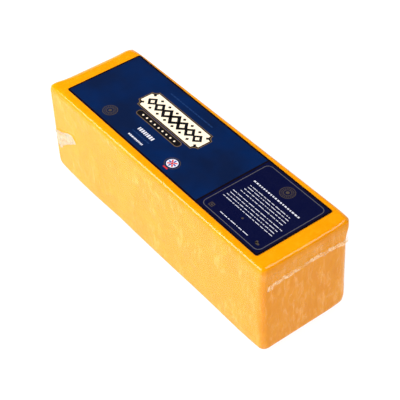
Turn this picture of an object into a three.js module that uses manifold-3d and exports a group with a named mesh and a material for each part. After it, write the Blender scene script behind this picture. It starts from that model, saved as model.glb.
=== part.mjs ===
import * as THREE from 'three';
import { mergeVertices } from 'three/addons/utils/BufferGeometryUtils.js';
import Module from 'manifold-3d';

// A five kilogram catering block of cheddar, sealed tight in clear film, with one long label
// on top. Millimetres, +Z up. +X is the front end, -Y the long side that shows, and the
// origin is the middle of the underside. The shapes are worked out under the label's middle
// and moved to that origin at the end.

// Driving dimensions of the block in its film
const BODY_LENGTH = 356;
const BODY_HEIGHT = 112.6;
const BACK_WIDTH = 110.7;
const FRONT_WIDTH = 113.9;
// Both ends lean back: the foot stands this far forward of half height, the top as far behind.
const END_LEAN = 2.5;
// The long sides run slightly askew of the label, by this much at each end.
const SIDE_DRIFT = 1.8;
const SIDE_OFFSET = -0.95;
const FOOT_SPREAD = 0.9;

// Radius of each edge: the two faces that meet there, by axis and side.
const EDGE_RADII = [
  { faces: [['x', 1], ['z', 1]], radius: 4.3 },
  { faces: [['x', 1], ['z', -1]], radius: 9 },
  { faces: [['x', -1], ['z', 1]], radius: 15.5 },
  { faces: [['x', -1], ['z', -1]], radius: 16 },
  { faces: [['x', 1], ['y', 1]], radius: 17.5 },
  { faces: [['x', 1], ['y', -1]], radius: 9.7 },
  { faces: [['x', -1], ['y', 1]], radius: 16.5 },
  { faces: [['x', -1], ['y', -1]], radius: 9.5 },
  { faces: [['y', 1], ['z', 1]], radius: 5.6 },
  { faces: [['y', -1], ['z', 1]], radius: 4.4 },
  { faces: [['y', 1], ['z', -1]], radius: 16 },
  { faces: [['y', -1], ['z', -1]], radius: 7.5 },
];

// Swells and hollows low on the long sides, where the curd has set unevenly.
const SIDE_SWELLS = [
  { side: -1, along: -112, spread: 42, depth: -1.2 },
  { side: -1, along: 10, spread: 70, depth: 0.6 },
  { side: -1, along: 138, spread: 34, depth: 0.8 },
  { side: 1, along: -60, spread: 50, depth: -0.8 },
  { side: 1, along: 90, spread: 45, depth: 0.5 },
];
// The swells fade out under the block, past this fraction of the half width.
const SWELL_START = 0.65;

// The block rests on a flat patch of the underside with four corners and sides that bow in a
// little. Beyond it the underside stands clear of the table by the rise.
const REST_HALF = { x: 158, y: 36.15 };
const REST_BOW = 1;
const REST_RISE = 0.6;
const REST_SLOPE = 4;
const REST_FADE = 2;

// Rows of the block's surface grid: close together in the band that holds the rounding.
const EDGE_BAND = 20;
const BAND_ROWS = 7;
const BAND_CROWDING = 1.6;
const MIDDLE_ROWS = { x: 20, y: 6, z: 6 };
const RADIUS_BLEND = 6;

// The seal flap folded down flat on each end, with a crinkled free edge.
const FRONT_FLAP = { side: 1, fold: 104, edge: 90, phase: 0.4 };
const BACK_FLAP = { side: -1, fold: 66, edge: 50, phase: 2.1 };
const FLAP_END_DROP = 5.5;
const FLAP_REACH = 51;
const FLAP_PROUD = 1.5;
const FLAP_ROOT = 3;
const FLAP_SINK = 0.5;
const FLAP_COLUMNS = 44;
const FLAP_ROWS = 5;
const FLAP_DROP_POWER = 4;
const FLAP_WEAVE = 1.3;

// Crinkles in the seals: waves in radians a millimetre, and the share of each kind.
const CRINKLE_DEPTH = 0.45;
const CRINKLE_RISE = 1.3;
const COARSE_WAVE = 0.21;
const DRIFT_WAVE = 0.083;
const FINE_WAVE = 0.57;
const COARSE_SHARE = 0.65;
const FINE_SHARE = 0.35;

// The end of the back seal, folded round the corner onto the long side.
const EAR_LENGTH = 40;
const EAR_WIDTH = 17;
const EAR_PROUD = 1.6;
const EAR_TILT = 0.42;
const EAR_SLANT = 0.4;
const EAR_NARROWING = 0.35;
const EAR_TAPER_POWER = 3;
const EAR_PLEAT = 0.5;
const EAR_WEAVE = 2;
const EAR_MIDDLE = { x: -149, z: 52 };
const EAR_COLUMNS = 12;
const EAR_ROWS = 6;

// The label
const LABEL_LENGTH = 311;
const LABEL_WIDTH = 94.7;
const LABEL_THICKNESS = 0.4;
const LABEL_CORNER = 2.5;
const LABEL_CORNER_STEPS = 5;

// Points closer than this are one point when a shape becomes a solid.
const MERGE_GAP = 1e-4;

const HALF = {
  x: BODY_LENGTH / 2,
  y: (BACK_WIDTH + FRONT_WIDTH) / 4,
  z: BODY_HEIGHT / 2,
};

const wasm = await Module();
wasm.setup();

function bell(offset, spread) {
  return Math.exp(-((offset / spread) ** 2));
}

// Place of one row of the grid, from -half to half, crowded towards both edges.
function rowPlace(row, middleRows, half) {
  const rows = middleRows + 2 * BAND_ROWS;
  if (row > rows / 2) {
    return -rowPlace(rows - row, middleRows, half);
  }
  if (row <= BAND_ROWS) {
    return -half + EDGE_BAND * (row / BAND_ROWS) ** BAND_CROWDING;
  }
  const middle = half - EDGE_BAND;
  return -middle + (2 * middle * (row - BAND_ROWS)) / middleRows;
}

// Radius of the nearest edge; where edges of unlike radius meet it blends between them.
function radiusAt(point) {
  let radiusSum = 0;
  let weightSum = 0;
  for (const { faces, radius } of EDGE_RADII) {
    const gaps = faces.map(([axis, side]) => HALF[axis] - side * point[axis]);
    const weight = Math.exp(-Math.hypot(...gaps) / RADIUS_BLEND);
    radiusSum += weight * radius;
    weightSum += weight;
  }
  return radiusSum / weightSum;
}

// Points past the ends of the flat faces swing onto an arc round the edge or the corner, or
// onto one that stands off it by the lift.
function roundOff(point, lift) {
  const radius = radiusAt(point);
  const core = new THREE.Vector3();
  for (const axis of ['x', 'y', 'z']) {
    const flat = HALF[axis] - radius;
    core[axis] = THREE.MathUtils.clamp(point[axis], -flat, flat);
  }
  point.sub(core).setLength(radius + lift).add(core);
}

// How far the underside stands clear of the table, beyond the patch that the block rests on.
function underRise({ x, y }) {
  const beyond = Math.max(
    Math.abs(x) - REST_HALF.x + REST_BOW * (1 - (y / REST_HALF.y) ** 2),
    Math.abs(y) - REST_HALF.y + REST_BOW * (1 - (x / REST_HALF.x) ** 2),
  );
  return REST_RISE * THREE.MathUtils.clamp(beyond / REST_SLOPE, 0, 1);
}

// The straight block becomes the real one: askew, leaning, spread at the foot and uneven.
function settle(point) {
  const along = point.x / HALF.x;
  const across = point.y / HALF.y;
  const down = -point.z / HALF.z;
  const lowness = (1 + down) / 2;
  const outness = Math.max(0, Math.abs(across) - SWELL_START) / (1 - SWELL_START);
  const widening = (FRONT_WIDTH - BACK_WIDTH) / 4;
  let swell = 0;
  for (const { side, along: place, spread, depth } of SIDE_SWELLS) {
    if (side * across > 0) {
      swell += depth * bell(point.x - place, spread) * lowness * outness;
    }
  }
  const spreadAtFoot = across > 0 ? FOOT_SPREAD * down * across : 0;
  const height = point.z + HALF.z;
  const rise = underRise(point) * Math.exp(-height / REST_FADE);
  point.y += SIDE_OFFSET + SIDE_DRIFT * along + widening * along * across;
  point.y += spreadAtFoot + Math.sign(across) * swell;
  point.x += END_LEAN * down;
  point.z = height + rise;
}

// Turns a point on the straight block into the one on the real skin, or off it by the lift.
function skinPoint(point, lift) {
  roundOff(point, lift);
  settle(point);
  return point;
}

function blockGeometry() {
  const rows = {};
  for (const axis of ['x', 'y', 'z']) {
    rows[axis] = MIDDLE_ROWS[axis] + 2 * BAND_ROWS;
  }
  const geometry = new THREE.BoxGeometry(2, 2, 2, rows.x, rows.y, rows.z);
  const position = geometry.attributes.position;
  const point = new THREE.Vector3();
  for (let i = 0; i < position.count; i += 1) {
    point.fromBufferAttribute(position, i);
    for (const axis of ['x', 'y', 'z']) {
      const row = Math.round(((point[axis] + 1) / 2) * rows[axis]);
      point[axis] = rowPlace(row, MIDDLE_ROWS[axis], HALF[axis]);
    }
    skinPoint(point, 0);
    position.setXYZ(i, point.x, point.y, point.z);
  }
  return geometry;
}

// A thin closed slab between a proud face and a root face, each a function of two fractions.
function slabGeometry(columns, rows, proudFace, rootFace) {
  const geometry = new THREE.BoxGeometry(1, 1, 1, columns, rows, 1);
  const position = geometry.attributes.position;
  for (let i = 0; i < position.count; i += 1) {
    const u = position.getX(i) + 0.5;
    const v = position.getY(i) + 0.5;
    const face = position.getZ(i) > 0 ? proudFace : rootFace;
    const { x, y, z } = face(u, v);
    position.setXYZ(i, x, y, z);
  }
  return geometry;
}

// Uneven crinkle along a seal, between -1 and 1.
function crinkle(distance, phase) {
  const drift = Math.sin(distance * DRIFT_WAVE + 2 * phase);
  const coarse = Math.sin(distance * COARSE_WAVE + phase) * drift;
  const fine = Math.sin(distance * FINE_WAVE + 3 * phase);
  return COARSE_SHARE * coarse + FINE_SHARE * fine;
}

function flapGeometry({ side, fold, edge: edgeHeight, phase }) {
  const place = (u, v) => {
    const across = 2 * u - 1;
    const y = side * across * FLAP_REACH;
    const edge = edgeHeight - FLAP_END_DROP * across ** FLAP_DROP_POWER;
    const rise = CRINKLE_RISE * crinkle(y, phase) * (1 - v);
    const z = edge + (fold - edge) * v + rise;
    return new THREE.Vector3(side * HALF.x, y, z - HALF.z);
  };
  const proudFace = (u, v) => {
    const point = place(u, v);
    const weave = crinkle(point.y * FLAP_WEAVE + point.z, phase + 1);
    const proud = (FLAP_PROUD + CRINKLE_DEPTH * weave) * (1 - v ** 2);
    return skinPoint(point, proud - FLAP_SINK * v);
  };
  const rootFace = (u, v) => skinPoint(place(u, v), -FLAP_ROOT);
  return slabGeometry(FLAP_COLUMNS, FLAP_ROWS, proudFace, rootFace);
}

function earGeometry() {
  const place = (u, v) => {
    const along = (u - 0.5) * EAR_LENGTH;
    const up = (v - 0.5) * EAR_WIDTH * (1 - EAR_NARROWING * u ** EAR_TAPER_POWER);
    const x = EAR_MIDDLE.x + along * Math.cos(EAR_TILT) - up * Math.sin(EAR_TILT) * EAR_SLANT;
    const z = EAR_MIDDLE.z + along * Math.sin(EAR_TILT) + up;
    return new THREE.Vector3(x, -HALF.y, z - HALF.z);
  };
  const proudFace = (u, v) => {
    const point = place(u, v);
    const weave = CRINKLE_DEPTH * crinkle(point.x * EAR_WEAVE, 1);
    const pleat = EAR_PLEAT * Math.sin(v * 2 * Math.PI) + weave;
    return skinPoint(point, EAR_PROUD * (1 - u / 2) + pleat * (1 - u));
  };
  const rootFace = (u, v) => skinPoint(place(u, v), -FLAP_ROOT);
  return slabGeometry(EAR_COLUMNS, EAR_ROWS, proudFace, rootFace);
}

function labelGeometry() {
  const outline = new THREE.Shape();
  const x = LABEL_LENGTH / 2 - LABEL_CORNER;
  const y = LABEL_WIDTH / 2 - LABEL_CORNER;
  const corners = [[x, y], [-x, y], [-x, -y], [x, -y]];
  corners.forEach(([cornerX, cornerY], quarter) => {
    const start = (quarter * Math.PI) / 2;
    outline.absarc(cornerX, cornerY, LABEL_CORNER, start, start + Math.PI / 2, false);
  });
  const geometry = new THREE.ExtrudeGeometry(outline, {
    depth: LABEL_THICKNESS,
    bevelEnabled: false,
    curveSegments: LABEL_CORNER_STEPS,
  });
  geometry.translate(0, 0, BODY_HEIGHT);
  return geometry;
}

function toSolid(geometry) {
  geometry.deleteAttribute('normal');
  geometry.deleteAttribute('uv');
  const merged = mergeVertices(geometry, MERGE_GAP);
  const vertProperties = Float32Array.from(merged.attributes.position.array);
  const triVerts = Uint32Array.from(merged.index.array);
  return new wasm.Manifold(new wasm.Mesh({ numProp: 3, vertProperties, triVerts }));
}

function toGeometry(solid) {
  const { vertProperties, triVerts } = solid.getMesh();
  const geometry = new THREE.BufferGeometry();
  geometry.setAttribute('position', new THREE.BufferAttribute(vertProperties, 3));
  geometry.setIndex(new THREE.BufferAttribute(triVerts, 1));
  geometry.computeVertexNormals();
  return geometry;
}

function namedMesh(name, geometry, color, roughness) {
  const material = new THREE.MeshStandardMaterial({ color, roughness, metalness: 0 });
  const mesh = new THREE.Mesh(geometry, material);
  mesh.name = name;
  return mesh;
}

const wrapped = toSolid(blockGeometry())
  .add(toSolid(flapGeometry(FRONT_FLAP)))
  .add(toSolid(flapGeometry(BACK_FLAP)))
  .add(toSolid(earGeometry()));

const wrappedGeometry = toGeometry(wrapped);
wrappedGeometry.computeBoundingBox();
const middle = wrappedGeometry.boundingBox.getCenter(new THREE.Vector3());

const group = new THREE.Group();
group.position.set(-middle.x, -middle.y, 0);
group.add(namedMesh('wrapped_cheddar', wrappedGeometry, '#f6ab2c', 0.3));
group.add(namedMesh('top_label', labelGeometry(), '#0a1d4d', 0.4));

export default group;
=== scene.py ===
"""A catering block of cheddar in tight clear film, with a long navy label on top."""
import math
import random
from functools import partial
from types import SimpleNamespace

import bmesh
import bpy
from bpy.props import FloatProperty, FloatVectorProperty, IntProperty, PointerProperty
from mathutils import Matrix, Vector, noise


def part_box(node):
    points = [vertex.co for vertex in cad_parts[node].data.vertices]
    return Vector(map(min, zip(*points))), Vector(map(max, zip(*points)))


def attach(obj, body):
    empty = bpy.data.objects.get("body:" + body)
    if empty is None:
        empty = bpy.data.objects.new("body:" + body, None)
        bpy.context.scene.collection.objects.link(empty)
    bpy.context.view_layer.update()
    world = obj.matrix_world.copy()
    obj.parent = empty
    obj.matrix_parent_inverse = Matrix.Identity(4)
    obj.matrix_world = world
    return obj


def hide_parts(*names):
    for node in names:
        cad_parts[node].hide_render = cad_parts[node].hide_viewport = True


bl_info = {
    "name": "Cheddar catering block",
    "version": (1, 0, 0),
    "blender": (4, 5, 0),
    "location": "3D View > Sidebar > Cheddar",
    "description": "Models a film-wrapped block of cheddar with its label and studio",
    "category": "Object",
}

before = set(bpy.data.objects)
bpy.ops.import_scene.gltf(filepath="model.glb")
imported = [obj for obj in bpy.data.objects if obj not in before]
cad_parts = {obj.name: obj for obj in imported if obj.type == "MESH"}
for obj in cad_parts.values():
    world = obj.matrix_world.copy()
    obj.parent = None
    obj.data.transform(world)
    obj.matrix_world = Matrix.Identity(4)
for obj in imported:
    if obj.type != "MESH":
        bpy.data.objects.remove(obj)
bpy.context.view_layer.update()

MM = 0.001
WRAPPED_NODE = "wrapped_cheddar"
LABEL_NODE = "top_label"
BODY = "root"

X, Y, Z = range(3)
# Radius of each edge of the block in millimetres, after the faces that meet there, by axis and
# side.
EDGE_RADII = (
    ((X, 1), (Z, 1), 4.3),
    ((X, 1), (Z, -1), 9.0),
    ((X, -1), (Z, 1), 15.5),
    ((X, -1), (Z, -1), 16.0),
    ((X, 1), (Y, 1), 17.5),
    ((X, 1), (Y, -1), 9.7),
    ((X, -1), (Y, 1), 16.5),
    ((X, -1), (Y, -1), 9.5),
    ((Y, 1), (Z, 1), 5.6),
    ((Y, -1), (Z, 1), 4.4),
    ((Y, 1), (Z, -1), 16.0),
    ((Y, -1), (Z, -1), 7.5),
)
RADIUS_BLEND = 6.0

# Swells and hollows low on the long sides, in millimetres: side, place along, spread and depth.
SIDE_SWELLS = (
    (-1, -112, 42, -1.2),
    (-1, 10, 70, 0.6),
    (-1, 138, 34, 0.8),
    (1, -60, 50, -0.8),
    (1, 90, 45, 0.5),
)
# The swells fade out under the block, past this fraction of the half width.
SWELL_START = 0.65

# The block rests on a flat patch with four corners and sides that bow in a little. Beyond it
# the underside stands clear of the table. All are in millimetres.
REST_HALF = (158.0, 36.15)
REST_BOW = 1.0
REST_RISE = 0.6
REST_SLOPE = 4.0
REST_FADE = 2.0

# The film's wrinkles, in millimetres: how far under the top and above the foot they start, how
# near a face they lie, how far from an end the long sides' pleats are deep, and how far under
# the top an end's pleats reach their full depth.
TOP_HELD = 14.0
FOOT_HELD = 9.0
FACE_BAND = 8.0
END_BAND = 70.0
GATHER = 30.0
# How strongly the rows of the block's grid crowd towards its edges.
CROWDING = 1.5

# Sizes in millimetres of the patterns on the surfaces, as they are on such a block: denser
# patches of the curd, the knitted curds, the places where tight film creases, its crinkles and
# its streaks, which are painted highlight.
CURD_PATCH = 30.0
CURD_KNIT = 7.0
CREASED_PLACE = 22.0
TIGHT_CRINKLE = 8.0
STREAK = 6.0
# Loose film at the seals: its creases and hazy places, the weld's specks and their places, the
# ear's crumple, and the depth and spacing of the crinkles in all of them.
LOOSE_CREASE = 4.0
LOOSE_PLACE = 14.0
WELD_SPECK = 2.6
WELD_PLACE = 10.0
EAR_CRUMPLE = 8.0
LOOSE_CRINKLE = (0.5, 3.0)
# The label: drift of its ink, drift of its shine and ripple of its film.
INK_DRIFT = 45.0
SHINE_DRIFT = 14.0
LABEL_RIPPLE = 20.0
# Where a mask starts and is full, in millimetres from the middle of the base: creases towards
# the ends, an even veil of painted reflection on the long sides, and all of it gone from the top face
# and its edge.
END_CREASES = (164.0, 174.0)
SIDE_PAINTED_VEIL = (48.0, 56.0)
TOP_CLEAR = (110.0, 104.0)
# The crinkles and streaks of film drawn tight stand upright.
UPRIGHT = (1.0, 1.0, 0.3)


def linear(hex_colour):
    """An sRGB hex colour as linear red, green, blue and a full alpha."""
    parts = [int(hex_colour[i : i + 2], 16) / 255 for i in (1, 3, 5)]
    return (*(c / 12.92 if c <= 0.04045 else ((c + 0.055) / 1.055) ** 2.4 for c in parts), 1.0)


def millimetres(name, description, value, low=0.0):
    """A length given in millimetres and kept in metres, as the panel shows it."""
    return FloatProperty(
        name=name,
        description=description,
        default=value * MM,
        min=low * MM,
        subtype="DISTANCE",
        unit="LENGTH",
    )


def colour(name, description, hex_colour):
    """A colour given in sRGB hex and kept linear."""
    return FloatVectorProperty(
        name=name, description=description, default=linear(hex_colour), subtype="COLOR", size=4
    )


class BlockSizes(bpy.types.PropertyGroup):
    """Sizes of the block under its film."""

    length: millimetres("Length", "Length of the block at half height", 356.0)
    height: millimetres("Height", "Height from the table to the flat top", 112.6)
    back_width: millimetres("Back width", "Width at the back end", 110.7)
    front_width: millimetres("Front width", "Width at the front end", 113.9)
    end_lean: millimetres("End lean", "How far the foot stands forward of half height", 2.5)
    side_drift: millimetres("Side drift", "How far the long sides run askew at each end", 1.8)
    side_offset: millimetres("Side offset", "Block's middle beside the label's", -0.95, -5.0)
    foot_spread: millimetres("Foot spread", "How far the far side spreads at the foot", 0.9)
    band: millimetres("Edge band", "Width of the band whose rows are crowded", 20.0)
    band_rows: IntProperty(name="Band rows", description="Rows in the edge band", default=13, min=1)
    row_pitch: millimetres("Row pitch", "Row spacing between the edge bands", 2.3)


class WrapSizes(bpy.types.PropertyGroup):
    """Sizes of the film and its folded end seals."""

    film_gap: millimetres("Film gap", "How far the cheese lies under the film's face", 0.35)
    wrinkle: millimetres("Wrinkle depth", "Depth of the film's soft wrinkles", 0.45)
    flap_reach: millimetres("Flap reach", "Half the width of a folded seal", 51.0)
    flap_proud: millimetres("Flap proud", "How far a seal's free edge stands off", 0.9)
    bead_proud: millimetres("Bead proud", "The most a welded band stands off", 1.9)
    flap_drop: millimetres("Flap drop", "How far a seal's corners hang lower", 5.5)
    sheet: millimetres("Sheet", "How far the two walls of sealed film are set apart", 0.2)
    crimp: millimetres("Crimp", "Height of the welded band along the free edge", 4.8)
    crinkle_rise: millimetres("Crinkle rise", "Up and down wander of the free edge", 1.3)
    ear_proud: millimetres("Ear proud", "How far the ear stands off the side", 1.2)


class LabelSizes(bpy.types.PropertyGroup):
    """Sizes of the label and its printed fields."""

    thickness: millimetres("Thickness", "Thickness of the label stock", 0.24)
    corner: millimetres("Corner", "Radius of the label's corners", 2.5)
    ink: millimetres("Ink", "Thickness of one printed layer", 0.03)
    divide: millimetres("Divide", "Where the dark panel starts, from the middle", 63.3)
    rim: millimetres("Rim", "Width of the near-black rim", 2.0)
    panel_gap: millimetres("Panel gap", "Label's edge to the dark panel", 0.1)
    rim_gap: millimetres("Rim gap", "Label's edge to the rim", 0.05)
    frame_inset: millimetres("Frame inset", "Label's end to the panel's thin frame line", 3.9)
    frame_side: millimetres("Frame side", "Label's side to the frame line", 4.5)
    frame_line: millimetres("Frame line", "Width of the panel's frame line", 0.7)
    frame_corner: millimetres("Frame corner", "Radius of the frame line's corners", 6.0)


class Finishes(bpy.types.PropertyGroup):
    """Colours of the finishes."""

    curd: colour("Curd", "Cheddar coloured with annatto", "#E79203")
    curd_deep: colour("Deep curd", "Denser, oilier patches of the curd", "#E38B02")
    curd_pale: colour("Pale curd", "Drier, paler patches of the curd", "#F1A21A")
    # Painted highlight: a paler curd for the upright streaks where creased film catches the light.
    painted_streak_highlight: colour("Lifted", "Cheese where creased film has let go of it", "#F8AA4C")
    # On the tight film this tint is partly the milky haze of creased film and partly painted light: a
    # veil of painted reflection on the long sides and streaks of painted highlight.
    film: colour("Film", "Milky haze of clear film where it is creased", "#FFCC88")
    # Partly the real haze of folded film, partly painted light: it pales each flap for the light its
    # outward lean catches.
    folded: colour("Folded film", "Haze of the film folded over at a seal", "#FFC272")
    crimp: colour("Crimp", "Welded film along a seal", "#FFD6A6")
    ear: colour("Ear", "Crumpled film of the folded ear", "#B9AE90")
    navy: colour("Navy", "The label's main field", "#001C49")
    navy_deep: colour("Deep navy", "Darker drift in the main field", "#041537")
    panel: colour("Panel", "The label's dark back panel", "#02062C")
    rim: colour("Rim", "Near-black rim and dividing line", "#0A0207")
    frame_line: colour("Frame line", "Grey-gold frame line", "#565356")
    cream: colour("Cream", "The plaque's cream ground", "#F3E0C6")
    gold: colour("Gold", "The plaque's bronze edge", "#6D583A")
    black: colour("Black", "The plaque's ornament", "#0C0A10")
    white: colour("White", "White printed rows", "#CECED8")
    dim: colour("Dim print", "Faint brown-grey seals", "#443B33")
    faint: colour("Faint print", "Rows barely lighter than the field", "#152F5B")
    red: colour("Red", "Red of the rosette", "#C02A2E")
    blue: colour("Blue", "Blue of the rosette", "#27408C")
    floor: colour("Floor", "Pale studio floor", "#FFFFFF")


def settings():
    """The sizes and colours that the panel shows."""
    return bpy.context.scene.cheddar


def sizes_of(group):
    """A group's lengths in millimetres, and its counts as they are."""
    values = {name: getattr(group, name) for name in group.__annotations__}
    lengths = {name: value / MM for name, value in values.items() if isinstance(value, float)}
    return SimpleNamespace(**values | lengths)


# Low and high corner of the label's box in metres.
LABEL_LOW, LABEL_HIGH = (Vector(corner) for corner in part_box(LABEL_NODE))
# The label's middle on the table: the block's shapes are worked out under the label.
MIDDLE = Vector(((LABEL_LOW.x + LABEL_HIGH.x) / 2, (LABEL_LOW.y + LABEL_HIGH.y) / 2, 0.0))


def halves(block):
    return Vector((block.length / 2, (block.back_width + block.front_width) / 4, block.height / 2))


def clamp(value, low, high):
    return max(low, min(high, value))


def smooth(value):
    """Nothing below 0, one above 1, and an even slope between."""
    value = clamp(value, 0.0, 1.0)
    return value * value * (3 - 2 * value)


def bell(offset, spread):
    return math.exp(-((offset / spread) ** 2))


def radius_at(point, half):
    """Radius of the nearest edge, blended where edges of unlike radius meet."""
    radius_sum = 0.0
    weight_sum = 0.0
    for (axis_a, side_a), (axis_b, side_b), radius in EDGE_RADII:
        gap = math.hypot(half[axis_a] - side_a * point[axis_a], half[axis_b] - side_b * point[axis_b])
        weight = math.exp(-gap / RADIUS_BLEND)
        radius_sum += weight * radius
        weight_sum += weight
    return radius_sum / weight_sum


def round_off(point, half, lift):
    """Swings a point past the end of a flat face onto the arc round the edge or corner."""
    radius = radius_at(point, half)
    core = Vector(clamp(point[i], radius - half[i], half[i] - radius) for i in range(3))
    outward = point - core
    outward.length = radius + lift
    return core + outward


def under_rise(point):
    """How far the underside stands clear of the table, beyond the patch it rests on."""
    bow_x = REST_BOW * (1 - (point.y / REST_HALF[1]) ** 2)
    bow_y = REST_BOW * (1 - (point.x / REST_HALF[0]) ** 2)
    beyond = max(abs(point.x) - REST_HALF[0] + bow_x, abs(point.y) - REST_HALF[1] + bow_y)
    return REST_RISE * clamp(beyond / REST_SLOPE, 0.0, 1.0)


def settle(point, block, half):
    """Turns the straight block into the real one: askew, leaning and uneven at the foot."""
    along = point.x / half.x
    across = point.y / half.y
    down = -point.z / half.z
    widening = (block.front_width - block.back_width) / 4
    outness = max(0.0, abs(across) - SWELL_START) / (1 - SWELL_START)
    swell = 0.0
    for side, place, spread, depth in SIDE_SWELLS:
        if side * across > 0:
            swell += depth * bell(point.x - place, spread) * (1 + down) / 2 * outness
    shift = block.side_offset + block.side_drift * along + widening * along * across
    shift += max(across, 0.0) * block.foot_spread * down + math.copysign(swell, across)
    height = point.z + half.z
    height += under_rise(point) * math.exp(-height / REST_FADE)
    return Vector((point.x + block.end_lean * down, point.y + shift, height))


def skin_point(point, block, half, lift):
    """The point of the real skin for one on the straight block, in metres."""
    return settle(round_off(point, half, lift), block, half) * MM + MIDDLE


def pleats(across, up, phase, count):
    """Thin upright pleats that wander, from 0 to 1."""
    drift = 3.0 * noise.noise(Vector((across * 0.02, up * 0.03, phase)))
    value = noise.noise(Vector((across * count + drift, up * 0.022, phase + 7.0)))
    return (1.0 - min(1.0, abs(value) * 2.2)) ** 3


def wrinkle_at(point, half):
    """Depth of the film's wrinkles at a point of the straight block, from 0 to 1."""
    side_gap = half.y - abs(point.y)
    end_gap = half.x - abs(point.x)
    below_top = half.z - point.z
    above_foot = half.z + point.z
    held = smooth(below_top / TOP_HELD) * smooth(above_foot / FOOT_HELD)
    on_side = smooth(1 - side_gap / FACE_BAND)
    on_end = smooth(1 - end_gap / FACE_BAND)
    face = math.copysign(11.0, point.y)
    soft = 0.5 + 0.5 * noise.noise(Vector((point.x * 0.05, point.z * 0.014, face)))
    thin = pleats(point.x, point.z, face, 0.11)
    near_end = smooth(1 - end_gap / END_BAND)
    side = on_side * (0.22 * soft + thin * (0.12 + 0.35 * near_end))
    gather = smooth(below_top / GATHER)
    end = on_end * (0.75 * pleats(point.y, point.z, point.x, 0.15) * gather + 0.25 * soft)
    return held * max(side, end)


def row_place(row, rows, block, half_length):
    """Place of one row of the block's grid, crowded towards both edges."""
    if row > rows / 2:
        return -row_place(rows - row, rows, block, half_length)
    if row <= block.band_rows:
        return -half_length + block.band * (row / block.band_rows) ** CROWDING
    middle = half_length - block.band
    return -middle + 2 * middle * (row - block.band_rows) / (rows - 2 * block.band_rows)


def block_mesh(depth):
    """The block as a closed grid whose face lies a depth under the skin."""
    block = sizes_of(settings().block)
    wrap = sizes_of(settings().wrap)
    half = halves(block)
    bm = bmesh.new()
    bmesh.ops.create_cube(bm, size=2.0)
    rows = [2 * block.band_rows + round(2 * (h - block.band) / block.row_pitch) for h in half]
    for axis in range(3):
        along = [e for e in bm.edges if abs(e.verts[0].co[axis] - e.verts[1].co[axis]) > 1.0]
        bmesh.ops.subdivide_edges(bm, edges=along, cuts=rows[axis] - 1, use_grid_fill=True)
    for vert in bm.verts:
        place = [round((vert.co[i] + 1) / 2 * rows[i]) for i in range(3)]
        point = Vector(row_place(place[i], rows[i], block, half[i]) for i in range(3))
        lift = -depth - wrap.wrinkle * wrinkle_at(point, half)
        vert.co = skin_point(point, block, half, lift)
    return bm


def finish_piece(name, bm, material, node, smooth_faces=True, clear=False):
    """Makes the mesh an object at the origin, hangs it on the body and hides the part it stands for.

    Milky film passes the light it scatters on to what lies under it, so a clear piece takes
    none away.
    """
    mesh = bpy.data.meshes.new(name)
    bm.to_mesh(mesh)
    bm.free()
    mesh.materials.append(material)
    if smooth_faces:
        mesh.shade_smooth()
    piece = bpy.data.objects.new(name, mesh)
    piece.visible_shadow = not clear
    piece.visible_diffuse = not clear
    bpy.context.scene.collection.objects.link(piece)
    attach(piece, BODY)
    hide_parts(node)


def add(tree, kind, inputs=(), **options):
    """Adds a node, sets its options, fills or links its inputs, and gives its outputs.

    The inputs come in the node's own order, or by name or number.
    """
    node = tree.nodes.new(kind)
    for name, value in options.items():
        setattr(node, name, value)
    for name, value in inputs.items() if isinstance(inputs, dict) else enumerate(inputs):
        if isinstance(value, bpy.types.NodeSocket):
            tree.links.new(value, node.inputs[name])
        else:
            node.inputs[name].default_value = value
    return node.outputs


def new_material(name):
    """An empty node material and its tree."""
    material = bpy.data.materials.new(name)
    material.use_nodes = True
    material.node_tree.nodes.clear()
    return material, material.node_tree


def shade(tree, values):
    """Ends a material with its one surface shader."""
    surface = add(tree, "ShaderNodeBsdfPrincipled", values)[0]
    add(tree, "ShaderNodeOutputMaterial", {"Surface": surface})


def pattern(tree, size_mm, detail, between=None, stretch=(1, 1, 1), distortion=0.0, reach=(0.0, 1.0)):
    """Noise on the piece's own coordinates whose features are about size_mm across.

    With between, the noise from its low to its high value is spread over the reach.
    """
    place = add(tree, "ShaderNodeTexCoord")["Object"]
    turned = add(tree, "ShaderNodeMapping", {"Vector": place, "Scale": stretch})[0]
    scale = 1 / (size_mm * MM)
    values = {"Vector": turned, "Scale": scale, "Detail": detail, "Distortion": distortion}
    value = add(tree, "ShaderNodeTexNoise", values)["Fac"]
    if between:
        value = add(tree, "ShaderNodeMapRange", (value, *between, *reach))[0]
    return value


def towards_faces(tree, axis, start_mm, full_mm, strength=1.0):
    """A mask that goes from nothing at the start to its strength at both faces of one axis."""
    place = add(tree, "ShaderNodeTexCoord")["Object"]
    along = add(tree, "ShaderNodeSeparateXYZ", (place,))[axis]
    away = add(tree, "ShaderNodeMath", (along,), operation="ABSOLUTE")[0]
    return add(tree, "ShaderNodeMapRange", (away, start_mm * MM, full_mm * MM, 0.0, strength))[0]


def creased_places(tree):
    """Where tight film is creased: in places on the long sides and nearly all over the ends."""
    at_end = towards_faces(tree, "X", *END_CREASES, 0.6)
    places = pattern(tree, CREASED_PLACE, 2.0, (0.48, 0.62), reach=(0.0, 0.8))
    both = add(tree, "ShaderNodeMath", (places, at_end), operation="MAXIMUM")[0]
    below_top = towards_faces(tree, "Z", *TOP_CLEAR)
    return add(tree, "ShaderNodeMath", (both, below_top), operation="MULTIPLY")[0]


def film_bump(tree, depth_mm, size_mm, places=None):
    """Bump of tight film: upright crinkles a few millimetres apart."""
    height = pattern(tree, size_mm, 2.0, stretch=UPRIGHT, distortion=0.8)
    if places:
        height = add(tree, "ShaderNodeMath", (height, places), operation="MULTIPLY")[0]
    return add(tree, "ShaderNodeBump", {"Height": height, "Distance": depth_mm * MM})[0]


def streaks(tree):
    """Upright streaks of painted highlight where creased film catches the light; on the film they are
    partly its milky haze.
    """
    return pattern(tree, STREAK, 3.0, (0.5, 0.7), UPRIGHT, 1.2)


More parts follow.
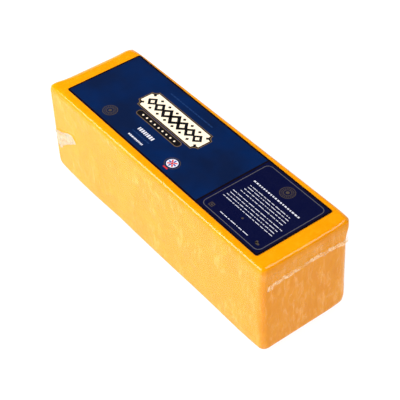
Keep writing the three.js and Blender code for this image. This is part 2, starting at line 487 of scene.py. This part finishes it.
def cheddar_material(finishes):
    """Young cheddar coloured with annatto, pressed smooth under film that clings to it.

    The eye gets a saturated egg-yolk orange, slightly mottled where the milled curds knitted,
    soft light under the surface, and the film's sharp gloss over it as a coat. Paler upright
    streaks where the film is creased are painted highlight, standing in for the light its
    crinkles catch.
    """
    material, tree = new_material("cheddar_under_film")
    patches = pattern(tree, CURD_PATCH, 3.0, (0.32, 0.68), distortion=0.5)
    knit = pattern(tree, CURD_KNIT, 3.0, (0.5, 0.75), distortion=0.8, reach=(0.0, 0.4))
    creased = creased_places(tree)
    crinkled = film_bump(tree, 1.0, TIGHT_CRINKLE, creased)
    # Paler streaks where the film is creased: painted highlight for the light its crinkles catch.
    painted_streaks = add(tree, "ShaderNodeMath", (streaks(tree), creased), operation="MULTIPLY")[0]
    layers = ((patches, finishes.curd), (knit, finishes.curd_pale), (painted_streaks, finishes.painted_streak_highlight))
    tint = finishes.curd_deep
    for share, over in layers:
        tint = add(tree, "ShaderNodeMix", {0: share, 6: tint, 7: over}, data_type="RGBA")[2]
    values = {
        "Base Color": tint,
        "Roughness": 0.6,
        "Specular IOR Level": 0.0,
        "Subsurface Weight": 0.15,
        "Subsurface Radius": (1.0, 0.5, 0.12),
        "Subsurface Scale": 3 * MM,
        "Coat Weight": 0.6,
        "Coat Roughness": 0.1,
        "Coat IOR": 1.5,
        "Normal": crinkled,
        "Coat Normal": crinkled,
    }
    shade(tree, values)
    return material


def film_material(name, tint, haze, clearest, haziest, depth_mm=0.3, size_mm=5.0):
    """Clear polyethylene film, with a milky haze where it is creased, and painted light where its
    haze mask holds it.

    The eye gets the haze's tint as thick as the mask says and the cheese everywhere else.
    """
    material, tree = new_material(name)
    values = {
        "Base Color": tint,
        "Roughness": 0.2,
        "Alpha": add(tree, "ShaderNodeMapRange", (haze(tree), 0.0, 1.0, clearest, haziest))[0],
        "Normal": film_bump(tree, depth_mm, size_mm),
    }
    shade(tree, values)
    return material


def tight_haze_and_painted_light(tree):
    """An even thin veil of painted reflection on the long sides, and a little haze in streaks where
    the film is creased, partly milky film and partly painted highlight.
    """
    at_side = towards_faces(tree, "Y", *SIDE_PAINTED_VEIL)
    below_top = towards_faces(tree, "Z", *TOP_CLEAR)
    # The even veil on the long sides is painted reflection: the light the film reflects there.
    even = add(tree, "ShaderNodeMath", (at_side, below_top), operation="MULTIPLY")[0]
    marks = (streaks(tree), creased_places(tree), even)
    return add(tree, "ShaderNodeMath", marks, operation="MULTIPLY_ADD")[0]


def folded_haze_and_painted_light(tree):
    """Uneven haze of two loose films with short upright creases, partly painted light that pales the
    flap for the light its outward lean catches.
    """
    creases = pattern(tree, LOOSE_CREASE, 3.0, (0.45, 0.75), (1.0, 1.0, 0.4), 1.0)
    places = pattern(tree, LOOSE_PLACE, 1.0, (0.35, 0.7))
    return add(tree, "ShaderNodeMath", (creases, places), operation="MULTIPLY")[0]


def welded_haze(tree):
    """Broken specks along crushed film."""
    specks = pattern(tree, WELD_SPECK, 2.0, (0.4, 0.62), distortion=0.8)
    places = pattern(tree, WELD_PLACE, 1.0, (0.34, 0.52))
    return add(tree, "ShaderNodeMath", (specks, places), operation="MULTIPLY")[0]


def crumpled_haze(tree):
    """Nearly opaque crumpled film with a few clear gaps."""
    return pattern(tree, EAR_CRUMPLE, 3.0, (0.3, 0.6), distortion=1.0)


def printed_material(name, ink, second=None):
    """Ink reverse-printed on glossy label film.

    The eye gets an even dark colour with a slight drift, a satin shine and no paper grain.
    """
    material, tree = new_material(name)
    surface = ink
    if second:
        drift = pattern(tree, INK_DRIFT, 3.0, (0.35, 0.65))
        surface = add(tree, "ShaderNodeMix", {0: drift, 6: ink, 7: second}, data_type="RGBA")[2]
    ripple = {"Height": pattern(tree, LABEL_RIPPLE, 1.0), "Strength": 0.05, "Distance": MM}
    values = {
        "Base Color": surface,
        "Roughness": pattern(tree, SHINE_DRIFT, 2.0, (0.3, 0.7), reach=(0.38, 0.46)),
        "Specular IOR Level": 0.08,
        "Normal": add(tree, "ShaderNodeBump", ripple)[0],
    }
    shade(tree, values)
    return material


def crinkle(distance, phase):
    """Uneven crinkle along a seal, between -1 and 1."""
    coarse = math.sin(distance * 0.21 + phase) * math.sin(distance * 0.083 + 2 * phase)
    return 0.65 * coarse + 0.35 * math.sin(distance * 0.57 + 3 * phase)


# The folded seals: the end each is on, the heights of its fold and of its free edge, and a
# phase that makes its crinkles its own.
FRONT_FLAP = {"side": 1, "fold": 104.0, "edge": 90.0, "phase": 0.4}
BACK_FLAP = {"side": -1, "fold": 66.0, "edge": 50.0, "phase": 2.1}
# The folded ear from the block's corner to its tip, in millimetres: place along, top and foot.
EAR_OUTLINE = (
    (-172.5, 52.6, 51.6),
    (-170.0, 53.6, 49.5),
    (-168.0, 54.4, 45.5),
    (-166.3, 55.2, 35.0),
    (-163.5, 56.4, 31.5),
    (-160.0, 57.0, 34.5),
    (-156.5, 58.2, 39.5),
    (-150.5, 61.2, 44.8),
    (-144.0, 64.5, 49.0),
    (-137.0, 66.0, 53.7),
    (-132.5, 64.3, 57.2),
    (-129.0, 60.2, 59.4),
)


def flap_place(flap, wrap, half, u, v):
    """Where a point of a folded seal lies on the straight block, and how far it stands off."""
    across = 2 * u - 1
    y = flap["side"] * across * wrap.flap_reach
    edge = flap["edge"] - wrap.flap_drop * across**4
    rise = wrap.crinkle_rise * crinkle(y, flap["phase"]) * (1 - v)
    z = edge + (flap["fold"] - edge) * v + rise
    rumple = 0.35 * noise.noise(Vector((y * 0.16, z * 0.07, flap["phase"])))
    rumple += 0.2 * noise.noise(Vector((y * 0.5, z * 0.12, flap["phase"] + 5)))
    lift = (wrap.flap_proud + rumple) * (1 - v**2) - 0.3 * v
    return Vector((flap["side"] * half.x, y, z - half.z)), lift


def band_place(flap, wrap, half, u, v):
    """The same for the lumpy welded band along the free edge of a folded seal."""
    share = wrap.crimp / (flap["fold"] - flap["edge"])
    point, lift = flap_place(flap, wrap, half, u, v * share)
    lumps = noise.noise(Vector((point.y * 0.45, v * 1.5, flap["phase"] + 9)))
    bead = 0.1 + (0.5 + 1.2 * lumps) * math.sin(math.pi * v)
    return point, min(lift + bead, wrap.bead_proud)


def ear_place(wrap, half, u, v):
    """Where a point of the folded ear lies on the long side, and how far it stands off."""
    steps = len(EAR_OUTLINE) - 1
    step = min(int(u * steps), steps - 1)
    share = u * steps - step
    here, there = EAR_OUTLINE[step], EAR_OUTLINE[step + 1]
    x, top, foot = (a + (b - a) * share for a, b in zip(here, there))
    z = foot + (top - foot) * v
    crumple = noise.noise(Vector((x * 0.1, z * 0.16, 4.0)))
    crumple += 0.5 * noise.noise(Vector((x * 0.22, z * 0.35 + x * 0.1, 9.0)))
    return Vector((x, -half.y, z - half.z)), wrap.ear_proud * clamp(0.5 + crumple, 0.15, 1.0)


def add_sheet(bm, columns, rows, place):
    """Adds a thin closed sheet of film whose points come from place(wrap, half, u, v).

    The grid's normals still point up when it gets its second wall, so the walls are set apart
    in height, and next to nothing lies between them.
    """
    block = sizes_of(settings().block)
    wrap = sizes_of(settings().wrap)
    half = halves(block)
    before = set(bm.faces)
    grid = bmesh.ops.create_grid(bm, x_segments=columns, y_segments=rows, size=1.0)["verts"]
    for vert in grid:
        point, lift = place(wrap, half, (vert.co.x + 1) / 2, (vert.co.y + 1) / 2)
        vert.co = skin_point(point, block, half, lift)
    faces = [face for face in bm.faces if face not in before]
    bmesh.ops.solidify(bm, geom=faces, thickness=wrap.sheet * MM)
    bmesh.ops.recalc_face_normals(bm, faces=list(bm.faces))


class CHEDDAR_OT_cheese(bpy.types.Operator):
    """Make the block of cheese"""

    bl_idname = "cheddar.cheese"
    bl_label = "Cheese"

    def execute(self, context):
        bm = block_mesh(sizes_of(settings().wrap).film_gap)
        material = cheddar_material(settings().finishes)
        finish_piece("cheddar", bm, material, WRAPPED_NODE)
        return {"FINISHED"}


class CHEDDAR_OT_film(bpy.types.Operator):
    """Make the clear film drawn tight over the block"""

    bl_idname = "cheddar.film"
    bl_label = "Film"

    def execute(self, context):
        bm = block_mesh(0.0)
        material = film_material("clear_film", settings().finishes.film, tight_haze_and_painted_light, 0.0, 0.11)
        finish_piece("clear_film", bm, material, WRAPPED_NODE, clear=True)
        return {"FINISHED"}


class CHEDDAR_OT_seals(bpy.types.Operator):
    """Make the seals folded flat on both ends, and the ear on the long side"""

    bl_idname = "cheddar.seals"
    bl_label = "End seals"

    def execute(self, context):
        finishes = settings().finishes
        folded = bmesh.new()
        welded = bmesh.new()
        ear = bmesh.new()
        for flap in (FRONT_FLAP, BACK_FLAP):
            add_sheet(folded, 150, 12, partial(flap_place, flap))
            add_sheet(welded, 240, 8, partial(band_place, flap))
        add_sheet(ear, 60, 24, ear_place)
        pieces = (
            ("folded_seals", folded, finishes.folded, folded_haze_and_painted_light, 0.04, 0.3),
            ("welded_seals", welded, finishes.crimp, welded_haze, 0.05, 0.66),
            ("seal_ear", ear, finishes.ear, crumpled_haze, 0.35, 0.92),
        )
        for name, bm, tint, haze, clearest, haziest in pieces:
            material = film_material(name, tint, haze, clearest, haziest, *LOOSE_CRINKLE)
            finish_piece(name, bm, material, WRAPPED_NODE, clear=True)
        return {"FINISHED"}


def bar(bm, x, y, length, height, angle=0.0):
    """A flat bar centred at x, y in millimetres from the label's middle."""
    turn = Matrix.Translation((x, y, 0)) @ Matrix.Rotation(angle, 4, "Z")
    size = Matrix.Diagonal((length / 2, height / 2, 1, 1))
    bmesh.ops.create_grid(bm, x_segments=1, y_segments=1, size=1.0, matrix=turn @ size)


# Segments of a printed circle.
ROUND = 64


def disc(bm, x, y, radius_x, radius_y, segments=ROUND):
    """A flat ellipse."""
    place = Matrix.Translation((x, y, 0)) @ Matrix.Diagonal((radius_x, radius_y, 1, 1))
    bmesh.ops.create_circle(bm, cap_ends=True, segments=segments, radius=1.0, matrix=place)


def ring(bm, x, y, radius_x, radius_y, width):
    """A flat elliptical ring that reaches in by its width."""
    before = set(bm.edges)
    for cut in (0.0, width):
        size = Matrix.Diagonal((radius_x - cut, radius_y - cut, 1, 1))
        place = Matrix.Translation((x, y, 0)) @ size
        bmesh.ops.create_circle(bm, segments=ROUND, radius=1.0, matrix=place)
    bmesh.ops.bridge_loops(bm, edges=[edge for edge in bm.edges if edge not in before])


def rounded_plate(bm, low, high, corner):
    """A flat rectangle with round corners, from its low and high corner, as one face."""
    before = set(bm.faces)
    middle = ((low[0] + high[0]) / 2, (low[1] + high[1]) / 2, 0)
    size = Matrix.Diagonal(((high[0] - low[0]) / 2, (high[1] - low[1]) / 2, 1, 1))
    place = Matrix.Translation(middle) @ size
    verts = bmesh.ops.create_grid(bm, x_segments=1, y_segments=1, size=1.0, matrix=place)["verts"]
    options = {"affect": "VERTICES", "segments": 8, "profile": 0.5, "material": -1}
    bmesh.ops.bevel(bm, geom=verts, offset=corner, **options)
    return next(face for face in bm.faces if face not in before)


def rounded_frame(bm, low, high, corner, width):
    """A thin frame line between two rounded rectangles."""
    edges = []
    for cut in (0.0, width):
        inner_low = (low[0] + cut, low[1] + cut)
        inner_high = (high[0] - cut, high[1] - cut)
        plate = rounded_plate(bm, inner_low, inner_high, corner - cut)
        edges += list(plate.edges)
        bmesh.ops.delete(bm, geom=[plate], context="FACES_ONLY")
    bmesh.ops.bridge_loops(bm, edges=edges)


def notched_plate(bm, low, high, notch, inset):
    """A flat rectangle whose corners are scooped out round their own points, then inset."""
    middle = Vector((low[0] + high[0], low[1] + high[1])) / 2
    reach = Vector((high[0] - low[0], high[1] - low[1])) / 2 - Vector((inset, inset))
    plate = rounded_plate(bm, middle - reach, middle + reach, notch)
    for vert in plate.verts:
        away = vert.co.xy - middle
        side = Vector((math.copysign(1, away.x), math.copysign(1, away.y)))
        corner = side * reach
        arm = away - corner + side * notch
        if arm.x * side.x > -0.01 and arm.y * side.y > -0.01:
            turned = Vector((arm.y, arm.x)) * side.x * side.y
            vert.co.xy = middle + corner - turned
    return plate


# Thickness in millimetres that keeps the printed layers clear of the label's sheet.
LAYER_GAP = 0.01


def thicken(bm, foot, thickness):
    """Turns flat shapes, in millimetres from the label's middle, into plates that stand at foot."""
    bmesh.ops.scale(bm, vec=(MM, MM, MM), verts=list(bm.verts))
    raised = bmesh.ops.extrude_face_region(bm, geom=list(bm.faces))["geom"]
    tops = [part for part in raised if isinstance(part, bmesh.types.BMVert)]
    bmesh.ops.translate(bm, vec=(0, 0, thickness), verts=tops)
    bmesh.ops.translate(bm, vec=(*MIDDLE.xy, foot), verts=list(bm.verts))
    bmesh.ops.recalc_face_normals(bm, faces=list(bm.faces))


def print_layer(name, bm, ink, tint, layer):
    """Gives flat print its ink and thickness and lays it on the label."""
    sizes = sizes_of(settings().label)
    for face in bm.faces:
        face.normal_update()
        if face.normal.z < 0:
            face.normal_flip()
    sunk = sizes.ink * MM
    height = (layer * sizes.ink + LAYER_GAP) * MM
    thicken(bm, LABEL_LOW.z + sizes.thickness * MM - sunk, height + sunk)
    material = printed_material(ink, tint)
    finish_piece(name, bm, material, LABEL_NODE, smooth_faces=False)


class CHEDDAR_OT_label(bpy.types.Operator):
    """Make the label's sheet with its rounded corners"""

    bl_idname = "cheddar.label"
    bl_label = "Label"

    def execute(self, context):
        sizes = sizes_of(settings().label)
        finishes = settings().finishes
        half = (LABEL_HIGH - LABEL_LOW).xy / 2 / MM
        bm = bmesh.new()
        rounded_plate(bm, -half, half, sizes.corner)
        thicken(bm, LABEL_LOW.z, sizes.thickness * MM)
        material = printed_material("navy_label_film", finishes.navy, finishes.navy_deep)
        finish_piece("label_sheet", bm, material, LABEL_NODE, smooth_faces=False)
        return {"FINISHED"}


# The plaque in the main field, from its low to its high corner, with a dark bar under it.
PLAQUE_LOW = (-95.0, -4.0)
PLAQUE_HIGH = (6.0, 25.5)
PLAQUE_NOTCH = 5.5
BAR_LOW = (-80.0, -14.0)
BAR_HIGH = (-9.0, -5.5)
BAR_CORNER = 3.8
BAR_EDGE = 0.7
# The plaque's lozenges get smaller away from its middle, and so do their pale centres.
LOZENGES = range(-3, 4)
LOZENGE_PITCH = 12.6
LOZENGE = 13.0
LOZENGE_LOSS = 1.1
CENTRE = 5.6
CENTRE_LOSS = 0.5
DIAMOND = math.radians(45)
# Small lozenges between the large ones, in a row above and a row below.
SMALL_LOZENGES = 8
SMALL_LOZENGE = 3.0
SMALL_ROW = 8.2
# Dots along the dark bar.
DOTS = range(-4, 5)
DOT_PITCH = 6.6
DOT = 1.1
# The shortest and longest bar in a row of print, and the gap between bars.
TITLE_BARS = (1.2, 3.0, 1.3)
FINE_BARS = (1.5, 8.5, 1.3)
LARGE_BARS = (1.2, 2.6, 1.2)
MEDIUM_BARS = (0.8, 2.2, 0.7)
FAINT_BARS = (1.6, 6.0, 0.75)
# Rows of print: middle along and across, length, thickness, bars and seed of their lengths.
PANEL_X = 109.6
FIELD_X = -45.0
WHITE_ROWS = (
    (PANEL_X, 15.9, 66.0, 1.7, TITLE_BARS, 0),
    (PANEL_X, 8.9, 61.0, 0.65, FINE_BARS, 1),
    (PANEL_X, 5.4, 59.5, 0.65, FINE_BARS, 2),
    (PANEL_X, 1.5, 61.0, 0.65, FINE_BARS, 3),
    (PANEL_X, -2.7, 62.0, 0.65, FINE_BARS, 4),
    (PANEL_X, -8.0, 72.0, 0.65, FINE_BARS, 5),
    (PANEL_X, -12.0, 70.5, 0.65, FINE_BARS, 6),
    (PANEL_X, -15.9, 71.5, 0.65, FINE_BARS, 7),
    (PANEL_X, -19.7, 73.0, 0.65, FINE_BARS, 8),
    (PANEL_X, -36.6, 40.5, 0.8, FINE_BARS, 9),
    (FIELD_X, -25.2, 24.0, 4.4, LARGE_BARS, 21),
    (FIELD_X, -38.3, 24.0, 1.9, MEDIUM_BARS, 23),
)
FAINT_ROWS = (
    (FIELD_X, -31.8, 28.0, 1.3, FAINT_BARS, 31),
    (FIELD_X, 33.6, 72.0, 1.6, FAINT_BARS, 33),
)
# Faint round seals, with two rings and spokes between them.
SEALS = ((-98.5, -32.0), (PANEL_X, 30.2))
SEAL_RINGS = (8.2, 4.4)
SEAL_LINE = 0.7
SEAL_HUB = 2.0
SPOKES = 20
SPOKE_PLACE = 5.9
SPOKE = 2.0
# Small faint marks in the panel: place, radii and segments.
FAINT_MARKS = (
    (76.6, -36.8, 1.1, 1.1, 16),
    (143.4, -36.6, 2.9, 1.3, 24),
    (141.6, -35.4, 1.4, 2.0, 24),
    (PANEL_X, -26.0, 1.2, 1.2, 16),
)
# A faint box in the panel: low corner, high corner, radius and width of its line.
MARK_BOX = ((73.9, -39.4), (79.3, -34.2), 0.7, 0.8)
# The rosette: its middle, and the radii of its ring, its ground, its petals' middles and its hub.
ROSETTE = (7.0, -31.2)
ROSETTE_RING = (8.8, 8.2)
ROSETTE_GROUND = (6.4, 6.0)
ROSETTE_PETALS = (3.6, 3.4)
ROSETTE_HUB = (1.5, 1.5)
PETALS = 8
PETAL = (3.4, 1.7)
RIBBON = (7.4, -40.2, 6.5, 1.6)


def broken_row(bm, x, y, length, height, bars, seed):
    """A row of short bars of uneven length, as a line of small print looks from afar."""
    shortest, longest, gap = bars
    lengths = random.Random(seed)
    place = x - length / 2
    while place < x + length / 2 - shortest:
        piece = min(lengths.uniform(shortest, longest), x + length / 2 - place)
        bar(bm, place + piece / 2, y, piece, height)
        place += piece + gap


class CHEDDAR_OT_print(bpy.types.Operator):
    """Make the printed fields, plaque, seals and rows on the label"""

    bl_idname = "cheddar.print"
    bl_label = "Print"

    def execute(self, context):
        finishes = settings().finishes
        self.fields(finishes)
        self.plaque(finishes)
        self.dark_bar(finishes)
        self.rows(finishes)
        self.seals(finishes)
        self.rosette(finishes)
        return {"FINISHED"}

    def fields(self, finishes):
        """The dark panel, the near-black rim with its dividing line, and the frame line."""
        sizes = sizes_of(settings().label)
        half = (LABEL_HIGH - LABEL_LOW).xy / 2 / MM
        panel = bmesh.new()
        high = half - Vector((sizes.panel_gap, sizes.panel_gap))
        rounded_plate(panel, (sizes.divide, -high.y), high, sizes.corner - sizes.panel_gap)
        print_layer("label_panel", panel, "dark_panel_ink", finishes.panel, 1)
        rim = bmesh.new()
        high = half - Vector((sizes.rim_gap, sizes.rim_gap))
        rounded_frame(rim, -high, high, sizes.corner, sizes.rim)
        bar(rim, sizes.divide, 0, sizes.rim, 2 * half.y - 2 * sizes.rim)
        print_layer("label_rim", rim, "rim_ink", finishes.rim, 2)
        line = bmesh.new()
        high = half - Vector((sizes.frame_inset, sizes.frame_side))
        low = (sizes.divide + sizes.frame_inset, -high.y)
        rounded_frame(line, low, high, sizes.frame_corner, sizes.frame_line)
        print_layer("label_frame_line", line, "frame_ink", finishes.frame_line, 2)

    def plaque(self, finishes):
        """A plain ticket-shaped plaque with rows of lozenges."""
        layers = (
            ("plaque_edge", "bronze_ink", finishes.gold, 0.0),
            ("plaque_dark", "black_ink", finishes.black, 0.7),
            ("plaque_cream", "cream_ink", finishes.cream, 1.9),
        )
        for layer, (name, ink, tint, inset) in enumerate(layers, start=1):
            bm = bmesh.new()
            notched_plate(bm, PLAQUE_LOW, PLAQUE_HIGH, PLAQUE_NOTCH, inset)
            print_layer(name, bm, ink, tint, layer)
        x = (PLAQUE_LOW[0] + PLAQUE_HIGH[0]) / 2
        y = (PLAQUE_LOW[1] + PLAQUE_HIGH[1]) / 2
        ornament = bmesh.new()
        for step in LOZENGES:
            size = LOZENGE - LOZENGE_LOSS * abs(step)
            bar(ornament, x + step * LOZENGE_PITCH, y, size, size, DIAMOND)
        for side in (-SMALL_ROW, SMALL_ROW):
            for step in range(SMALL_LOZENGES):
                place = x + (step - (SMALL_LOZENGES - 1) / 2) * LOZENGE_PITCH
                bar(ornament, place, y + side, SMALL_LOZENGE, SMALL_LOZENGE, DIAMOND)
        print_layer("plaque_ornament", ornament, "ornament_ink", finishes.black, 4)

    def dark_bar(self, finishes):
        """The dark bar under the plaque, with the pale dots on it and the lozenges' centres."""
        edge = bmesh.new()
        rounded_plate(edge, BAR_LOW, BAR_HIGH, BAR_CORNER)
        print_layer("band_edge", edge, "band_edge_ink", finishes.gold, 1)
        band = bmesh.new()
        low = (BAR_LOW[0] + BAR_EDGE, BAR_LOW[1] + BAR_EDGE)
        high = (BAR_HIGH[0] - BAR_EDGE, BAR_HIGH[1] - BAR_EDGE)
        rounded_plate(band, low, high, BAR_CORNER - BAR_EDGE)
        print_layer("band", band, "band_ink", finishes.black, 2)
        x = (PLAQUE_LOW[0] + PLAQUE_HIGH[0]) / 2
        pale = bmesh.new()
        for step in LOZENGES:
            size = CENTRE - CENTRE_LOSS * abs(step)
            y = (PLAQUE_LOW[1] + PLAQUE_HIGH[1]) / 2
            bar(pale, x + step * LOZENGE_PITCH, y, size, size, DIAMOND)
        for step in DOTS:
            disc(pale, x + step * DOT_PITCH, (BAR_LOW[1] + BAR_HIGH[1]) / 2, DOT, DOT, segments=16)
        print_layer("plaque_gaps", pale, "gap_ink", finishes.cream, 5)

    def rows(self, finishes):
        """Rows of bars in the panel and under the plaque, and fainter ones."""
        layers = (
            ("white_rows", "white_ink", finishes.white, WHITE_ROWS),
            ("faint_rows", "faint_ink", finishes.faint, FAINT_ROWS),
        )
        for name, ink, tint, rows in layers:
            bm = bmesh.new()
            for row in rows:
                broken_row(bm, *row)
            print_layer(name, bm, ink, tint, 3)

    def seals(self, finishes):
        """Faint seals and small marks, and the rosette's ring."""
        dim = bmesh.new()
        for x, y in SEALS:
            for radius in SEAL_RINGS:
                ring(dim, x, y, radius, radius, SEAL_LINE)
            disc(dim, x, y, SEAL_HUB, SEAL_HUB, segments=24)
            for turn in range(SPOKES):
                angle = turn * 2 * math.pi / SPOKES
                along = x + SPOKE_PLACE * math.cos(angle)
                across = y + SPOKE_PLACE * math.sin(angle)
                bar(dim, along, across, SPOKE, SEAL_LINE, angle)
        rounded_frame(dim, *MARK_BOX)
        for mark in FAINT_MARKS:
            disc(dim, *mark)
        ring(dim, *ROSETTE, *ROSETTE_RING, SEAL_LINE)
        print_layer("dim_seals", dim, "dim_ink", finishes.dim, 2)

    def rosette(self, finishes):
        """A plain round rosette of red and blue petals on white, with a red bar under it."""
        ground = bmesh.new()
        disc(ground, *ROSETTE, *ROSETTE_GROUND)
        print_layer("rosette_ground", ground, "badge_ink", finishes.white, 3)
        blue = bmesh.new()
        red = bmesh.new()
        for turn in range(PETALS):
            angle = turn * 2 * math.pi / PETALS
            x = ROSETTE[0] + ROSETTE_PETALS[0] * math.cos(angle)
            y = ROSETTE[1] + ROSETTE_PETALS[1] * math.sin(angle)
            bar(red if turn % 2 else blue, x, y, *PETAL, angle)
        disc(red, *ROSETTE, *ROSETTE_HUB, segments=24)
        bar(red, *RIBBON)
        print_layer("rosette_blue", blue, "blue_ink", finishes.blue, 4)
        print_layer("rosette_red", red, "red_ink", finishes.red, 4)


# The camera of the photograph, worked out from the label's corners: place in millimetres from
# the label's middle on the table, the way it looks, its right-hand side and its lens.
CAMERA_PLACE = (741.86, -565.73, 934.08)
CAMERA_BACK = (0.57060817, -0.44156932, 0.69240368)
CAMERA_RIGHT = (0.6165166, 0.78731928, -0.0059696)
CAMERA_LENS = 111.607
SENSOR = 36.0


# Soft lights: name, direction from the block, width and height in metres, and radiance.
SOFTBOXES = (
    ("key_softbox", (-0.36, -0.68, 0.63), 1.35, 1.0, 9.6),
    ("edge_softbox", (0.15, 0.47, 0.87), 0.8, 0.6, 5.5),
    ("front_softbox", (0.82, -0.05, 0.57), 0.45, 0.45, 8.5),
)
SOFTBOX_DISTANCE = 1.5
# Where the lights aim: about half way up the block.
LIT_POINT = Vector((0.0, 0.0, 0.06))
ROOM_LIGHT = 0.05
# Radius and height of the floor's rings, which turn up far from the block.
FLOOR_RINGS = ((3.0, 0.0), (3.5, 0.12), (3.8, 0.5), (3.9, 1.3))


def softbox(name, direction, width, height, radiance):
    """A soft rectangular light that shines at the middle of the block."""
    data = bpy.data.lights.new(name, "AREA")
    data.shape = "RECTANGLE"
    data.size = width
    data.size_y = height
    data.energy = radiance * math.pi * width * height
    lamp = bpy.data.objects.new(name, data)
    back = Vector(direction).normalized()
    turn = back.to_track_quat("Z", "Y").to_matrix().to_4x4()
    lamp.matrix_world = Matrix.Translation(LIT_POINT + back * SOFTBOX_DISTANCE) @ turn
    bpy.context.scene.collection.objects.link(lamp)


class CHEDDAR_OT_stage(bpy.types.Operator):
    """Make the pale floor, the soft lights and the camera"""

    bl_idname = "cheddar.stage"
    bl_label = "Studio"

    def execute(self, context):
        self.floor()
        for light in SOFTBOXES:
            softbox(*light)
        world = bpy.data.worlds.new("dim_room")
        world.use_nodes = True
        grey = (ROOM_LIGHT, ROOM_LIGHT, ROOM_LIGHT, 1)
        world.node_tree.nodes["Background"].inputs[0].default_value = grey
        context.scene.world = world
        context.scene.view_settings.view_transform = "Standard"
        self.camera(context)
        return {"FINISHED"}

    def floor(self):
        """A pale floor that glows a little, as an evenly lit backdrop does."""
        bm = bmesh.new()
        start = FLOOR_RINGS[0][0]
        bmesh.ops.create_circle(bm, cap_ends=True, segments=96, radius=start)
        rim = list(bm.edges)
        for radius, height in FLOOR_RINGS[1:]:
            made = bmesh.ops.extrude_edge_only(bm, edges=rim)["geom"]
            rim = [part for part in made if isinstance(part, bmesh.types.BMEdge)]
            for vert in (part for part in made if isinstance(part, bmesh.types.BMVert)):
                vert.co = Vector((vert.co.x, vert.co.y, 0)).normalized() * radius
                vert.co.z = height
        material, tree = new_material("pale_floor")
        values = {
            "Base Color": (0.15, 0.15, 0.15, 1),
            "Roughness": 1.0,
            "Specular IOR Level": 0.0,
            "Emission Color": settings().finishes.floor,
            "Emission Strength": 0.92,
        }
        shade(tree, values)
        mesh = bpy.data.meshes.new("floor")
        bm.to_mesh(mesh)
        bm.free()
        mesh.materials.append(material)
        floor = bpy.data.objects.new("floor", mesh)
        bpy.context.scene.collection.objects.link(floor)

    def camera(self, context):
        data = bpy.data.cameras.new("camera")
        data.sensor_width = SENSOR
        data.lens = CAMERA_LENS
        camera = bpy.data.objects.new("camera", data)
        back = Vector(CAMERA_BACK).normalized()
        right = Vector(CAMERA_RIGHT).normalized()
        turn = Matrix((right, back.cross(right), back)).transposed().to_4x4()
        place = Vector(CAMERA_PLACE) * MM + MIDDLE
        camera.matrix_world = Matrix.Translation(place) @ turn
        context.scene.collection.objects.link(camera)
        context.scene.camera = camera


class CheddarSettings(bpy.types.PropertyGroup):
    """Everything a user would change."""

    block: PointerProperty(type=BlockSizes, name="Block")
    wrap: PointerProperty(type=WrapSizes, name="Wrap")
    label: PointerProperty(type=LabelSizes, name="Label")
    finishes: PointerProperty(type=Finishes, name="Finishes")


class CHEDDAR_PT_panel(bpy.types.Panel):
    """Lists the steps that make the block"""

    bl_label = "Cheddar block"
    bl_idname = "CHEDDAR_PT_panel"
    bl_space_type = "VIEW_3D"
    bl_region_type = "UI"
    bl_category = "Cheddar"

    def draw(self, context):
        for operator in OPERATORS:
            self.layout.operator(operator.bl_idname)
        for group in (settings().block, settings().wrap, settings().label, settings().finishes):
            box = self.layout.box()
            for name in group.__annotations__:
                box.prop(group, name)


OPERATORS = (
    CHEDDAR_OT_cheese,
    CHEDDAR_OT_film,
    CHEDDAR_OT_seals,
    CHEDDAR_OT_label,
    CHEDDAR_OT_print,
    CHEDDAR_OT_stage,
)
GROUPS = (BlockSizes, WrapSizes, LabelSizes, Finishes, CheddarSettings)


def register():
    for cls in (*GROUPS, *OPERATORS, CHEDDAR_PT_panel):
        bpy.utils.register_class(cls)
    bpy.types.Scene.cheddar = PointerProperty(type=CheddarSettings)


def unregister():
    del bpy.types.Scene.cheddar
    for cls in reversed((*GROUPS, *OPERATORS, CHEDDAR_PT_panel)):
        bpy.utils.unregister_class(cls)


def main():
    register()
    bpy.ops.cheddar.cheese()
    bpy.ops.cheddar.film()
    bpy.ops.cheddar.seals()
    bpy.ops.cheddar.label()
    bpy.ops.cheddar.print()
    bpy.ops.cheddar.stage()


if __name__ == "__main__":
    main()
